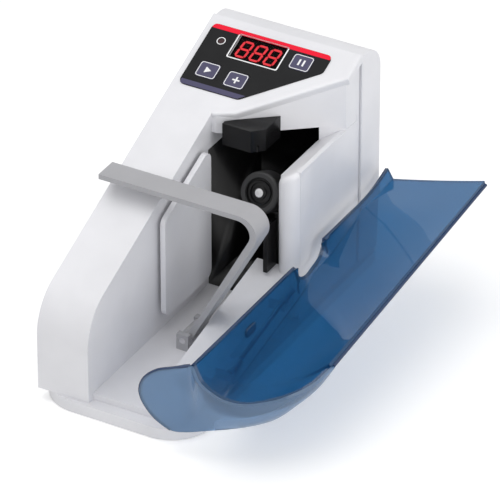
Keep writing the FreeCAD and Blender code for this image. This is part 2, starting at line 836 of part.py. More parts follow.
def bill_guide():
    bend_across = guide_reach
    profile = [
        (guide_left, guide_height - guide_sheet), (guide_left, guide_height),
        (bend_across, guide_height, guide_corner), (guide_foot_across + guide_barrel, guide_pivot_height),
        (guide_foot_across, guide_pivot_height),
        (bend_across - guide_sheet - guide_sheet, guide_height - guide_sheet, guide_corner - guide_sheet),
    ]
    back = guide_along + guide_depth
    strip = prism("XZ_Plane", [profile], guide_depth, (0, back, 0))
    barrel_spot = (guide_foot_across, guide_along, guide_pivot_height)
    barrel = cylinder(guide_barrel, guide_depth, barrel_spot, (1, 0, 0), -90)
    bore = cylinder(guide_pin_radius + fit_gap, guide_depth, barrel_spot, (1, 0, 0), -90)
    node(cut(fuse(strip, barrel), bore), "bill_guide")
    ear_gap = running_gap
    pin_spot = (guide_foot_across, guide_along - ear_gap - guide_ear, guide_pivot_height)
    pin = cylinder(guide_pin_radius, guide_depth + 2 * ear_gap + 2 * guide_ear, pin_spot, (1, 0, 0), -90)
    node(pin, "guide_pin")
    ears = []
    for front in (guide_along - ear_gap - guide_ear, back + ear_gap):
        low = (guide_foot_across - guide_barrel, front, floor_top)
        high = (guide_foot_across + guide_barrel, front + guide_ear, guide_pivot_height + guide_barrel)
        hole = cylinder(guide_pin_radius, guide_ear, (guide_foot_across, front, guide_pivot_height),
                        (1, 0, 0), -90)
        ears.append(cut(box(low, high), hole))
    node(group(*ears), "guide_bracket")


def door_station(along, inside, above):
    """The tray's three-sided section at a distance along, drawn in by its sheet."""
    share = (along - door_front) / (door_back - door_front)
    lip = door_lip_front + (door_lip_back - door_lip_front) * share
    crease = hinge_height(along) - door_crease_drop
    return [
        (door_edge_across + inside, door_edge_height + above),
        (door_crease_across + inside, crease + inside),
        (door_lip_across, lip + inside + above * 2),
    ]


def scoop_station(inside, above):
    """The small front section of the tray."""
    return [
        (scoop_left + inside, door_edge_height + above), (scoop_low + inside, scoop_bottom + inside),
        (scoop_right - inside, door_lip_front + above),
    ]


def door_loft(inside, above, front, full, back):
    """The tray's outer or inner form, through its front, full and back sections."""
    body = doc.addObject("PartDesign::Body", "body")
    sketches = []
    stations = [(front, scoop_station(inside, above)), (full, door_station(full, inside, above)),
                (back, door_station(back, inside, above))]
    for along, points in stations:
        sketch = sketch_on(body, "XZ_Plane")
        bind(sketch, "AttachmentOffset.Base.z", -along)
        outline(sketch, points)
        sketches.append(sketch)
    doc.recompute()
    loft = body.newObject("PartDesign::AdditiveLoft", "loft")
    loft.Profile = sketches[0]
    loft.Sections = sketches[1:]
    loft.Ruled = True
    body.Tip = loft
    return place(body, 0, 0, 0)


def tray_door():
    outer = door_loft(size(0), size(0), scoop_front, door_front, door_back)
    inner = door_loft(door_sheet, 2 * door_sheet, scoop_front + door_sheet, door_front + door_sheet,
                      door_back + door_sheet)
    notch_spot = (door_edge_across - door_sheet, notch_along, door_edge_height)
    notch = cylinder(notch_radius, 4 * door_sheet, notch_spot, (0, 1, 0), 90)
    pieces, bores = [], []
    for index in range(2):
        start = knuckle_first + index * knuckle_pitch()
        pieces.append(cylinder(knuckle_radius, knuckle_length, on_hinge(start), (1, 0, 0), hinge_turn))
        bores.append(cylinder(hinge_pin_radius + fit_gap, knuckle_length, on_hinge(start),
                              (1, 0, 0), hinge_turn))
    tub = cut(outer, inner, notch)
    node(cut(fuse(tub, *pieces), *bores), "tray_door")


def knuckle_pitch():
    """The step between the door's knuckles, which keeps the last bracket short of the finger notch."""
    end = (wall_front - hinge_end_gap) / cosine(hinge_tilt)
    return end - bracket_length - running_gap - knuckle_length - knuckle_first


def door_hinge():
    first = knuckle_first - running_gap - bracket_length
    last = knuckle_first + knuckle_pitch() + knuckle_length + running_gap
    pin = cylinder(hinge_pin_radius, last + bracket_length - first, on_hinge(first), (1, 0, 0), hinge_turn)
    node(pin, "hinge_pin")
    brackets = []
    for start in (first, last):
        eye = cylinder(bracket_radius, bracket_length, on_hinge(start), (1, 0, 0), hinge_turn)
        hole = cylinder(hinge_pin_radius, bracket_length, on_hinge(start), (1, 0, 0), hinge_turn)
        arm_spot = (ledge_right, *on_hinge(start)[1:])
        arm = doc.addObject("Part::Box", "block")
        bind(arm, "Length", hinge_across - ledge_right)
        bind(arm, "Width", ledge_drop + bracket_seat)
        bind(arm, "Height", bracket_length)
        place(arm, *arm_spot, (1, 0, 0), hinge_turn)
        brackets.append(cut(fuse(eye, arm), hole))
    node(group(*brackets), "hinge_brackets")


def sensors():
    right = wall_left - sensor_width
    seat = ledge_height(wall_front)
    low = (right - sensor_width, wall_front - sensor_depth, seat)
    node(box(low, (right, wall_front, feed_height - sensor_drop)), "note_sensor")


def check_objects():
    for obj in doc.Objects:
        if "Invalid" in obj.State or "Error" in obj.State:
            raise RuntimeError(f"{obj.Name} failed: {obj.State}")
    for obj in nodes:
        if obj.Shape.isNull() or not obj.Shape.isValid():
            raise RuntimeError(f"{obj.Label} has no valid shape")


def write_nodes():
    os.makedirs("parts", exist_ok=True)
    for obj in nodes:
        obj.Shape.exportStep(f"parts/{obj.Label}.step")
        bounds = obj.Shape.BoundBox
        print(obj.Label, len(obj.Shape.Solids), round(obj.Shape.Volume, 1), bounds)


base_plate()
rubber_feet()
case_screws()
front_case()
head_cover()
keypad_overlay()
keys()
display()
control_board()
rear_cover()
batteries()
feed_drive()
drive_parts()
feed_block()
pusher()
bill_guide()
tray_door()
door_hinge()
sensors()
doc.recompute()
check_objects()
write_nodes()
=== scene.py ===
import math

import bmesh
import bpy
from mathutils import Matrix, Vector

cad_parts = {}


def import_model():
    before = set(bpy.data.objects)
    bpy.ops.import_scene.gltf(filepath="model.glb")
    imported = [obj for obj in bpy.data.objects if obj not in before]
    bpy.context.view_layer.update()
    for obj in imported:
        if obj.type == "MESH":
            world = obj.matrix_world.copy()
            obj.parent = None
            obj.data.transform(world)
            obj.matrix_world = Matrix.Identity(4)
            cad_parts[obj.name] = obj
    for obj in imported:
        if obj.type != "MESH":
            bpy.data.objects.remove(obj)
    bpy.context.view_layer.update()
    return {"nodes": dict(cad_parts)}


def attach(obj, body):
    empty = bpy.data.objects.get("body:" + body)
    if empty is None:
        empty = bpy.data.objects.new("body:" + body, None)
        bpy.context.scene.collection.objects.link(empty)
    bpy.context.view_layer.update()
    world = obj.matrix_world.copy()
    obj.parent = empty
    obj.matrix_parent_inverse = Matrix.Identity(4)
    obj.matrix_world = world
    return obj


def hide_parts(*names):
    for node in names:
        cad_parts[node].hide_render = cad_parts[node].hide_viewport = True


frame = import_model()
nodes = frame["nodes"]

# Layout in millimetres: across from the left edge, along from the front edge, up from the table
MM = 0.001
CASE_WIDTH = 80.0
CASE_LENGTH = 177.0
SLOPE = math.radians(23)
SLOPE_START = 48.0
HEAD_FRONT = 112.0
HEAD_RAISE = 2.0
HEAD_BOTTOM = 87.34
OVERLAY_TOP = 0.4
FEED_TILT = math.radians(25)
FEED_CENTRE = (57.0, 103.0, 69.04)
HINGE_RISE = math.tan(math.radians(12.4))

# Tray sheet
TRAY_SHEET = 2.2
TRAY_EDGE = (81.5, 45.0)
TRAY_CREASE_ACROSS = 85.0
TRAY_CREASE_FRONT = 9.8
TRAY_LIP_ACROSS = 133.0
TRAY_LIP_FRONT = 39.0
TRAY_LIP_BACK = 57.0
TRAY_FRONT = 12.0
TRAY_BACK = 176.0
TRAY_TURN = 34.0
NOTCH_ALONG = 103.0
NOTCH_RADIUS = 14.0
NOTCH_DEPTH = 10.8
TAIL_START = 150.0
TAIL_LENGTH = 26.0
TAIL_RISE = 5.0
FLANGE_LEAST = 2.5
BEND_RADIUS = 1.3
BEND_EXTRA = 5.0
BEND_FADE = 45.0
BEND_MOST = 0.8
SAG_DEPTH = 9.0
SAG_FADE = 55.0
SPOTS_BEFORE_NOTCH = [TRAY_TURN, 45, 58, 70, 80, 87]
SPOTS_AFTER_NOTCH = [120, 130, 140, 148, 155, 161, 166, 170, 173, TRAY_BACK]
RIM_STEPS = 14
RIM_DROP = 0.8
RIM_REACH = 0.62
RIM_CROWDING = 0.9
TRAY_RIM = [
    (81.5, -0.5, 45), (89, -5.4, 41), (100, -7, 37.4), (112, -3.6, 36), (123, 9, 36), (130, 21, 38),
    (133, 33, 41.3),
]
FRONT_SHEET = 1.6
FRONT_SWELL = Vector((0, -3.5, -2.5))
FRONT_UPPER = [
    (59.8, -7.2, 29.5), (62.2, -7.2, 36.2), (68, -6.2, 41.4), (75, -4, 43.6), (81.5, -1, 45.2),
    (89, -5.9, 41.2), (100, -7.6, 37.6), (110, -5, 36.2), (118, 2, 36), (123, 9, 36), (130, 21, 38),
    (133, 33, 41.3),
]
FRONT_LOWER = [
    (59.8, -7.2, 29.5), (61.8, -7.4, 23.4), (67.5, -7.4, 17.2), (75, -7.2, 13.4), (83, -6.6, 14.5),
    (92, -5, 17.5), (101, -1.5, 19.5), (109, 4.5, 20.3), (116, 12, 21.5), (122.5, 17, 27),
    (129, 26, 33.5), (133, 34, 41.2),
]
CATCH_OUTLINE = [(42, 35.2, 1.5), (50.5, 35.2, 1.5), (50.5, 39.8, 1.5), (42, 39.8, 1.5)]
CATCH_SIDES = (83.4, 85.4)
BEAD_RADIUS = 0.75
BEAD_SHIFT = Vector((0.9, 0, 0))
BEAD_UPRIGHT = Vector((0.31, 0.2, 0.93))


def at(across, along, up):
    """A point of the part in metres, from the layout in millimetres."""
    return Vector(((across - CASE_WIDTH / 2) * MM, (along - CASE_LENGTH / 2) * MM, up * MM))


def slope_height(along):
    return SLOPE_START + math.tan(SLOPE) * along


def panel(across, slope, raised):
    """A point on the keypad panel: distance up the slope and height over it."""
    along = HEAD_FRONT + slope * math.cos(SLOPE) - raised * math.sin(SLOPE)
    up = slope_height(HEAD_FRONT) + HEAD_RAISE + slope * math.sin(SLOPE) + raised * math.cos(SLOPE)
    return at(across, along, up)


def feed_point(radius, angle, back):
    """A point round the feed axis: radius, angle from the right, distance behind the front face."""
    side = radius * math.cos(angle)
    rise = radius * math.sin(angle)
    along = FEED_CENTRE[1] + back * math.cos(FEED_TILT) + rise * math.sin(FEED_TILT)
    up = FEED_CENTRE[2] - back * math.sin(FEED_TILT) + rise * math.cos(FEED_TILT)
    return at(FEED_CENTRE[0] + side, along, up)


# Materials
NOISE_LOW = 0.3
NOISE_HIGH = 0.7
PLASTIC_IOR = 1.45


def principled(name):
    material = bpy.data.materials.new(name)
    material.use_nodes = True
    tree = material.node_tree
    shader = tree.nodes["Principled BSDF"]
    return material, tree, shader


def add(tree, kind, **values):
    """A node with its named inputs and properties set."""
    item = tree.nodes.new(kind)
    for key, value in values.items():
        if key in item.inputs:
            item.inputs[key].default_value = value
        else:
            setattr(item, key, value)
    return item


def noise(tree, scale, detail=3.0):
    place = add(tree, "ShaderNodeTexCoord")
    cloud = add(tree, "ShaderNodeTexNoise", Scale=scale, Detail=detail)
    tree.links.new(place.outputs["Object"], cloud.inputs["Vector"])
    return cloud.outputs["Fac"]


def spread(tree, source, low, high):
    """Maps a noise value to a range."""
    ramp = add(tree, "ShaderNodeMapRange")
    ramp.inputs["From Min"].default_value = NOISE_LOW
    ramp.inputs["From Max"].default_value = NOISE_HIGH
    ramp.inputs["To Min"].default_value = low
    ramp.inputs["To Max"].default_value = high
    tree.links.new(source, ramp.inputs["Value"])
    return ramp.outputs["Result"]


def tinted(tree, source, dark, light):
    """A colour that drifts between two tones."""
    ramp = add(tree, "ShaderNodeValToRGB")
    ramp.color_ramp.elements[0].position = NOISE_LOW
    ramp.color_ramp.elements[0].color = (*dark, 1)
    ramp.color_ramp.elements[1].position = NOISE_HIGH
    ramp.color_ramp.elements[1].color = (*light, 1)
    tree.links.new(source, ramp.inputs["Fac"])
    return ramp.outputs["Color"]


def grain(tree, shader, scale, strength, distance):
    bump = add(tree, "ShaderNodeBump", Strength=strength, Distance=distance)
    tree.links.new(noise(tree, scale), bump.inputs["Height"])
    tree.links.new(bump.outputs["Normal"], shader.inputs["Normal"])


def moulded(name, colour, rough, scale=900.0, bump=0.12, drift=0.04, metallic=0.0, gloss=0.5):
    """Moulded or metal stock: drifting tone, uneven gloss and a fine surface grain."""
    material, tree, shader = principled(name)
    dark = [value * (1 - drift) for value in colour]
    light = [min(1.0, value * (1 + drift)) for value in colour]
    tree.links.new(tinted(tree, noise(tree, 35.0), dark, light), shader.inputs["Base Color"])
    low, high = rough * 0.88, min(1.0, rough * 1.12)
    tree.links.new(spread(tree, noise(tree, 120.0), low, high), shader.inputs["Roughness"])
    shader.inputs["Metallic"].default_value = metallic
    shader.inputs["Specular IOR Level"].default_value = gloss
    grain(tree, shader, scale, bump, distance=0.0002)
    return material


def clear_tint(name, colour, weight, rough):
    """See-through moulded plastic with a tint."""
    material, tree, shader = principled(name)
    dark = [value * 0.92 for value in colour]
    tree.links.new(tinted(tree, noise(tree, 18.0), dark, colour), shader.inputs["Base Color"])
    shader.inputs["Transmission Weight"].default_value = weight
    shader.inputs["Roughness"].default_value = rough
    shader.inputs["IOR"].default_value = PLASTIC_IOR
    grain(tree, shader, scale=60.0, strength=0.03, distance=0.0005)
    return material


def thin_pane(name, colour, cover):
    """A thin clear window that only veils what is behind it."""
    material, tree, shader = principled(name)
    dark = [value * 0.8 for value in colour]
    tree.links.new(tinted(tree, noise(tree, 80.0), dark, colour), shader.inputs["Base Color"])
    tree.links.new(spread(tree, noise(tree, 200.0), 0.1, 0.16), shader.inputs["Roughness"])
    shader.inputs["Specular IOR Level"].default_value = 0.03
    shader.inputs["Alpha"].default_value = cover
    return material


def glowing(name, colour, strength):
    material, tree, shader = principled(name)
    dark = [value * 0.85 for value in colour]
    tree.links.new(tinted(tree, noise(tree, 300.0), dark, colour), shader.inputs["Base Color"])
    shader.inputs["Emission Color"].default_value = (*colour, 1)
    shader.inputs["Emission Strength"].default_value = strength
    shader.inputs["Roughness"].default_value = 0.4
    return material


MATERIALS = {
    "white_abs": moulded("white_abs", (0.78, 0.78, 0.81), 0.36),
    "grey_abs": moulded("grey_abs", (0.39, 0.39, 0.41), 0.42, scale=1400.0, bump=0.2),
    "blue_clear": clear_tint("blue_clear", (0.028, 0.16, 0.37), weight=0.7, rough=0.06),
    # Lighter copy of the tray blue for the front skin: painted reflection of the bright studio on its
    # rounded face.
    "blue_front_painted_reflection": clear_tint("blue_front_painted_reflection", (0.20, 0.34, 0.54), weight=0.6, rough=0.08),
    "blue_edge": moulded("blue_edge", (0.012, 0.035, 0.10), 0.2),
    "black_plastic": moulded("black_plastic", (0.006, 0.006, 0.0065), 0.24, bump=0.06, gloss=0.25),
    "overlay_film": moulded("overlay_film", (0.010, 0.010, 0.011), 0.5, scale=2200.0, bump=0.15,
                            gloss=0.12),
    "key_plastic": moulded("key_plastic", (0.075, 0.07, 0.13), 0.45, scale=2200.0, bump=0.1, gloss=0.2),
    "window_clear": thin_pane("window_clear", (0.02, 0.008, 0.008), cover=0.08),
    "board_green": moulded("board_green", (0.02, 0.16, 0.06), 0.45),
    "lamp_red": moulded("lamp_red", (0.03, 0.008, 0.01), 0.25, gloss=0.2),
    "rubber_black": moulded("rubber_black", (0.022, 0.022, 0.023), 0.5, scale=1500.0, bump=0.3, gloss=0.4),
    "steel": moulded("steel", (0.62, 0.62, 0.64), 0.26, scale=700.0, bump=0.1, drift=0.03, metallic=1.0),
    "battery_skin": moulded("battery_skin", (0.10, 0.16, 0.24), 0.35),
    "brass_contact": moulded("brass_contact", (0.78, 0.60, 0.28), 0.3, scale=700.0, bump=0.1, drift=0.05,
                             metallic=1.0),
    "print_white": moulded("print_white", (0.86, 0.86, 0.87), 0.5),
    "print_red": moulded("print_red", (0.90, 0.012, 0.04), 0.5, gloss=0.12),
    "print_slate": moulded("print_slate", (0.085, 0.08, 0.145), 0.5, gloss=0.12),
    "display_black": moulded("display_black", (0.006, 0.006, 0.006), 0.9, bump=0.0, gloss=0.0),
    "digit_red": glowing("digit_red", (0.70, 0.008, 0.02), strength=0.5),
    "shaft_light": moulded("shaft_light", (0.62, 0.62, 0.63), 0.35),
}


# Mesh helpers
def finish_piece(name, bm, material, body, sharp=35):
    """Turns a bmesh into a shaded piece that rides on a body."""
    bmesh.ops.recalc_face_normals(bm, faces=bm.faces)
    mesh = bpy.data.meshes.new(name)
    bm.to_mesh(mesh)
    bm.free()
    mesh.shade_smooth()
    mesh.set_sharp_from_angle(angle=math.radians(sharp))
    mesh.materials.append(MATERIALS[material])
    piece = bpy.data.objects.new(name, mesh)
    bpy.context.scene.collection.objects.link(piece)
    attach(piece, body)
    return piece


def bevel(piece, width, segments=3, angle=35):
    soften = piece.modifiers.new("soft_edges", "BEVEL")
    soften.width = width * MM
    soften.segments = segments
    soften.limit_method = "ANGLE"
    soften.angle_limit = math.radians(angle)
    soften.harden_normals = True
    soften.miter_outer = "MITER_ARC"
    return piece


def thicken(piece, thickness, offset):
    sheet = piece.modifiers.new("sheet", "SOLIDIFY")
    sheet.thickness = thickness * MM
    sheet.offset = offset
    sheet.use_even_offset = True
    return piece


def bridge(bm, first, second):
    """Faces between two closed loops of vertices."""
    count = len(first)
    for index in range(count):
        after = (index + 1) % count
        bm.faces.new((first[index], first[after], second[after], second[index]))


def loops_of(bm, outlines):
    """Vertices along outlines of points."""
    return [[bm.verts.new(point) for point in outline] for outline in outlines]


def chain(bm, outlines):
    """A skin along a chain of outlines, closed at both ends."""
    loops = loops_of(bm, outlines)
    for first, second in zip(loops, loops[1:]):
        bridge(bm, first, second)
    bm.faces.new(loops[-1])
    bm.faces.new(list(reversed(loops[0])))


def ring(bm, outlines):
    """A skin round a closed chain of outlines."""
    loops = loops_of(bm, outlines)
    for first, second in zip(loops, loops[1:] + loops[:1]):
        bridge(bm, first, second)


def grid(bm, rows):
    """Faces over rows of points, and the vertices made for them."""
    made = loops_of(bm, rows)
    for low, high in zip(made, made[1:]):
        for index in range(len(low) - 1):
            bm.faces.new((low[index], low[index + 1], high[index + 1], high[index]))
    return made


def vectors(spots):
    return [Vector(spot) for spot in spots]


def full_turn(count):
    """Equal angles round a circle."""
    return [2 * math.pi * index / count for index in range(count)]


def bend(start, corner, end, share):
    """A point on the curve that rounds a corner."""
    return start * (1 - share) ** 2 + corner * 2 * share * (1 - share) + end * share ** 2


def rounded(corners, steps=5):
    """An outline with its corners rounded; each corner is (x, y, radius)."""
    points = []
    count = len(corners)
    for index, (x, y, radius) in enumerate(corners):
        corner = Vector((x, y))
        before = Vector(corners[index - 1][:2]) - corner
        after = Vector(corners[(index + 1) % count][:2]) - corner
        half = before.angle(after) / 2
        reach = radius / math.tan(half)
        start = corner + before.normalized() * reach
        end = corner + after.normalized() * reach
        points += [bend(start, corner, end, step / steps) for step in range(steps + 1)]
    return points


def bar(across, slope, width, depth):
    half_width, half_depth = width / 2, depth / 2
    return [(across - half_width, slope - half_depth), (across + half_width, slope - half_depth),
            (across + half_width, slope + half_depth), (across - half_width, slope + half_depth)]


def rectangle(across, slope, width, depth, radius):
    corners = [(*corner, radius) for corner in bar(across, slope, width, depth)]
    return rounded(corners)


def circle(across, slope, radius, count=32):
    return [Vector((across + radius * math.cos(turn), slope + radius * math.sin(turn)))
            for turn in full_turn(count)]


def panel_plate(bm, outline, low, high):
    """A flat plate in the panel's slope."""
    chain(bm, [[panel(p[0], p[1], raised) for p in outline] for raised in (low, high)])


def panel_ring(bm, outer, inner, low, high):
    """A flat frame in the panel's slope."""
    corners = ((outer, low), (outer, high), (inner, high), (inner, low))
    ring(bm, [[panel(p[0], p[1], raised) for p in outline] for outline, raised in corners])


def back_plate(bm, outline, front, back):
    """A flat plate on the back, from an outline of (across, up)."""
    chain(bm, [[at(p[0], along, p[1]) for p in outline] for along in (front, back)])


def lathe(bm, profile, count):
    """A ring of (radius, back) points turned about the feed axis."""
    turns = full_turn(count)
    ring(bm, [[feed_point(radius, turn, back) for turn in turns] for radius, back in profile])


def tube(bm, points, radius, sides=8):
    """A round bead along points, closed at both ends."""
    outlines = []
    for index, point in enumerate(points):
        ahead = points[min(index + 1, len(points) - 1)] - points[max(index - 1, 0)]
        side = ahead.cross(BEAD_UPRIGHT).normalized()
        rise = side.cross(ahead).normalized()
        spokes = [side * math.cos(turn) + rise * math.sin(turn) for turn in full_turn(sides)]
        outlines.append([at(*(point + spoke * radius)) for spoke in spokes])
    chain(bm, outlines)


def curve_through(points, share):
    """A smooth curve through points, at a share of its length in points."""
    spot = share * (len(points) - 1)
    index = min(int(spot), len(points) - 2)
    local = spot - index
    before = points[max(index - 1, 0)]
    start, end = points[index], points[index + 1]
    after = points[min(index + 2, len(points) - 1)]
    first = (end - before) / 2
    last = (after - start) / 2
    square, cube = local ** 2, local ** 3
    return (start * (2 * cube - 3 * square + 1) + first * (cube - 2 * square + local)
            + end * (3 * square - 2 * cube) + last * (cube - square))


# Tray door
def notch_drop(along):
    """How far the finger notch lowers the flange's edge."""
    offset = (along - NOTCH_ALONG) / NOTCH_RADIUS
    return NOTCH_DEPTH * math.sqrt(max(0.0, 1 - offset * offset))


def tray_corners(along):
    """The flange's edge, the crease and the lip at a distance along."""
    share = (along - TRAY_FRONT) / (TRAY_BACK - TRAY_FRONT)
    lip = TRAY_LIP_FRONT + (TRAY_LIP_BACK - TRAY_LIP_FRONT) * share
    crease = TRAY_CREASE_FRONT + HINGE_RISE * along
    tail = max(0.0, (along - TAIL_START) / TAIL_LENGTH) ** 2
    crease = min(crease, TRAY_EDGE[1] - FLANGE_LEAST + tail)
    edge = Vector((TRAY_EDGE[0], along, TRAY_EDGE[1] - notch_drop(along) + TAIL_RISE * tail))
    return edge, Vector((TRAY_CREASE_ACROSS, along, crease)), Vector((TRAY_LIP_ACROSS, along, lip))


def tray_section(along):
    """The tray's bent section at a distance along, from the flange to the lip."""
    edge, crease, lip = tray_corners(along)
    up_leg, out_leg = edge - crease, lip - crease
    radius = min(BEND_RADIUS + BEND_EXTRA * math.exp(-along / BEND_FADE), up_leg.length * BEND_MOST)
    start = crease + up_leg.normalized() * radius
    end = crease + out_leg.normalized() * radius
    points = [edge.lerp(start, i / 6) for i in range(6)]
    points += [bend(start, crease, end, step / 7) for step in range(7)]
    sag = SAG_DEPTH * math.exp(-along / SAG_FADE)
    for step in range(19):
        share = step / 18
        point = end.lerp(lip, share)
        point.z -= 4 * sag * share * (1 - share)
        points.append(point)
    return points


def rim_curve(rim, settle, share):
    """A point on the way from the rim down into the tray."""
    drop = max(0.0, rim.z - settle.z)
    below = rim - Vector((0, 0, RIM_DROP * drop))
    ahead = settle - Vector((0, RIM_REACH * (settle.y - rim.y), 0))
    keep = 1 - share
    return (rim * keep ** 3 + below * 3 * keep ** 2 * share
            + ahead * 3 * keep * share ** 2 + settle * share ** 3)


def tray_rows():
    """Rows of points from the front rim to the back edge."""
    turn = tray_section(TRAY_TURN)
    last = len(turn) - 1
    rim = [curve_through(vectors(TRAY_RIM), (index / last) ** RIM_CROWDING) for index in range(last + 1)]
    rows = []
    for step in range(RIM_STEPS):
        rows.append([rim_curve(*ends, step / RIM_STEPS) for ends in zip(rim, turn)])
    notch = [NOTCH_ALONG - NOTCH_RADIUS * math.cos(math.pi * i / 20) for i in range(21)]
    spots = SPOTS_BEFORE_NOTCH + notch + SPOTS_AFTER_NOTCH
    return rows + [tray_section(spot) for spot in spots]


def tray_door():
    bm = bmesh.new()
    grid(bm, [[at(*point) for point in row] for row in tray_rows()])
    tray = finish_piece("tray_shell", bm, "blue_clear", "door", sharp=60)
    thicken(tray, TRAY_SHEET, offset=1.0)
    bevel(tray, 0.5, segments=2, angle=50)
    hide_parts("tray_door")
    tray_front()
    tray_beads()
    tray_latch()


def tray_front():
    """The tray's rounded front skin, from the guard beside the notes round to the scoop, in a lighter blue
    that paints its reflection.
    """
    upper, lower = vectors(FRONT_UPPER), vectors(FRONT_LOWER)
    rows = []
    for step in range(56):
        share = step / 55
        top, bottom = curve_through(upper, share), curve_through(lower, share)
        swell = FRONT_SWELL * min(1.0, max(0.0, 3.4 * share - 0.9), 4 * (1 - share))
        middle = (top + bottom) / 2 + swell
        rows.append([at(*bend(top, middle, bottom, index / 12)) for index in range(13)])
    bm = bmesh.new()
    grid(bm, rows)
    bmesh.ops.remove_doubles(bm, verts=bm.verts, dist=0.00002)
    # The lighter blue here is painted reflection, the same plastic as the rest of the tray.
    front = finish_piece("tray_front", bm, "blue_front_painted_reflection", "door", sharp=60)
    thicken(front, FRONT_SHEET, offset=0.0)
    bevel(front, 0.4, segments=2, angle=50)


def tray_beads():
    """The dark polished edges of the flange, the guard and the outer lip."""
    rows = tray_rows()
    guard = vectors(FRONT_LOWER[3:0:-1] + FRONT_UPPER[:5])
    guard = [curve_through(guard, step / 40) for step in range(41)]
    flange = [row[0] + BEAD_SHIFT for row in rows]
    lip = [row[-1] for row in rows[RIM_STEPS:]]
    bm = bmesh.new()
    for path in (guard, flange, lip):
        tube(bm, path, BEAD_RADIUS)
    finish_piece("tray_beads", bm, "blue_edge", "door", sharp=60)


def tray_latch():
    """A small raised catch on the flange."""
    outline = rounded(CATCH_OUTLINE)
    bm = bmesh.new()
    chain(bm, [[at(across, p[0], p[1]) for p in outline] for across in CATCH_SIDES])
    bevel(finish_piece("tray_catch", bm, "blue_clear", "door"), 0.5)


# Feed wheel
TYRE_RIBS = 72
TYRE_RADIUS = 9.7
RIB_DEPTH = 0.45
POINTS_PER_RIB = 4
TYRE_PROFILE = [
    (7.0, 0.0), (8.7, 0.0), (9.2, 0.35), (9.4, 1.0), (TYRE_RADIUS, 1.3), (TYRE_RADIUS, 9.7), (9.4, 10.0),
    (9.2, 10.6), (8.7, 11.0), (7.0, 11.0),
]
HUB_PROFILE = [
    (2.05, 0.0), (2.05, 0.1), (2.9, 0.1), (3.1, 0.3), (3.2, 1.2), (4.6, 1.4), (4.8, 0.7), (5.4, 0.6),
    (5.6, 1.3), (6.3, 1.3), (6.5, 0.2), (6.95, 0.2), (6.95, 10.8), (2.05, 10.8),
]
TIP_PROFILE = [(0.02, -0.25), (1.3, -0.25), (1.75, 0.0), (1.75, 0.8), (0.02, 0.8)]


def feed_tyre():
    """The ribbed tyre: fine ribs round the rim between two plain shoulders."""
    turns = full_turn(TYRE_RIBS * POINTS_PER_RIB)
    outlines = []
    for radius, back in TYRE_PROFILE:
        outline = []
        for index, turn in enumerate(turns):
            in_groove = index % POINTS_PER_RIB in (0, POINTS_PER_RIB - 1)
            sunk = RIB_DEPTH if in_groove and radius == TYRE_RADIUS else 0.0
            outline.append(feed_point(radius - sunk, turn, back))
        outlines.append(outline)
    bm = bmesh.new()
    ring(bm, outlines)
    tyre = finish_piece("feed_tyre_ribbed", bm, "rubber_black", "feed", sharp=30)
    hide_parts("feed_tyre")


def feed_hub():
    """The stepped wheel centre with a raised collar round the shaft."""
    bm = bmesh.new()
    lathe(bm, HUB_PROFILE, 64)
    hub = finish_piece("feed_wheel_stepped", bm, "black_plastic", "feed", sharp=30)
    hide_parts("feed_wheel")


def shaft_tip():
    """The turned end of the shaft that shows in the wheel's centre."""
    bm = bmesh.new()
    lathe(bm, TIP_PROFILE, 32)
    finish_piece("shaft_tip", bm, "shaft_light", "feed", sharp=30)


# Keypad
KEYS = {"start_key": ("start_button", 15.0, 20.5), "add_key": ("add_button", 30.0, 19.5),
        "mode_key": ("mode_button", 54.0, 38.0)}
KEY_OUTER = (9.6, 8.1, 1.4)
KEY_INNER = (8.9, 7.4, 1.1)
PRINT = 0.06
RED_BAND = [(5.3, 43.4, 0.1), (65.7, 43.4, 0.1), (65.7, 45.9, 2.2), (5.3, 45.9, 2.2)]
SLATE_BAND = [(5.6, 10.2, 1.6), (35.4, 10.2, 1.2), (38.4, 12.8, 0.2), (5.6, 12.8, 0.1)]
LAMP_SPOT = (13, 37.5)
LAMP_RING = (2.1, 1.7)
DIGIT_CENTRE = (32.15, 37.15)
DIGIT_PITCH = 7.2
DIGIT_LEVELS = (-0.9, -0.7)
FRAME_OUTER = (26.0, 14.0, 1.0)
FRAME_INNER = (24.7, 12.9, 0.8)
WINDOW = (32.15, 37.65, 24.2, 13.2, 0.3)
MASK_LEVELS = (-2.15, -0.95)
PANE_LEVELS = (-0.35, OVERLAY_TOP)
DIGIT_WIDTH = 4.6
DIGIT_HEIGHT = 8.6
DIGIT_STROKE = 1.05
DIGIT_LEAN = 0.12
DIGIT_GAP = 0.12


def key_marks():
    """White outlines and plain symbols on the keys."""
    top = OVERLAY_TOP
    for name, (body, across, slope) in KEYS.items():
        bm = bmesh.new()
        outer = rectangle(across, slope, *KEY_OUTER)
        inner = rectangle(across, slope, *KEY_INNER)
        panel_ring(bm, outer, inner, top, top + PRINT)
        for symbol in key_symbol(name, across, slope):
            panel_plate(bm, symbol, top, top + PRINT)
        finish_piece(f"{name}_print", bm, "print_white", body)


def key_symbol(name, across, slope):
    """A triangle for start, a cross for add and two bars for mode."""
    if name == "start_key":
        return [[(across - 1.3, slope - 1.7), (across + 1.8, slope), (across - 1.3, slope + 1.7)]]
    if name == "add_key":
        return [bar(across, slope, 3.6, 0.8), bar(across, slope + 1.1, 0.8, 1.4),
                bar(across, slope - 1.1, 0.8, 1.4)]
    return [bar(across - 1.1, slope, 0.9, 3.4), bar(across + 1.1, slope, 0.9, 3.4)]


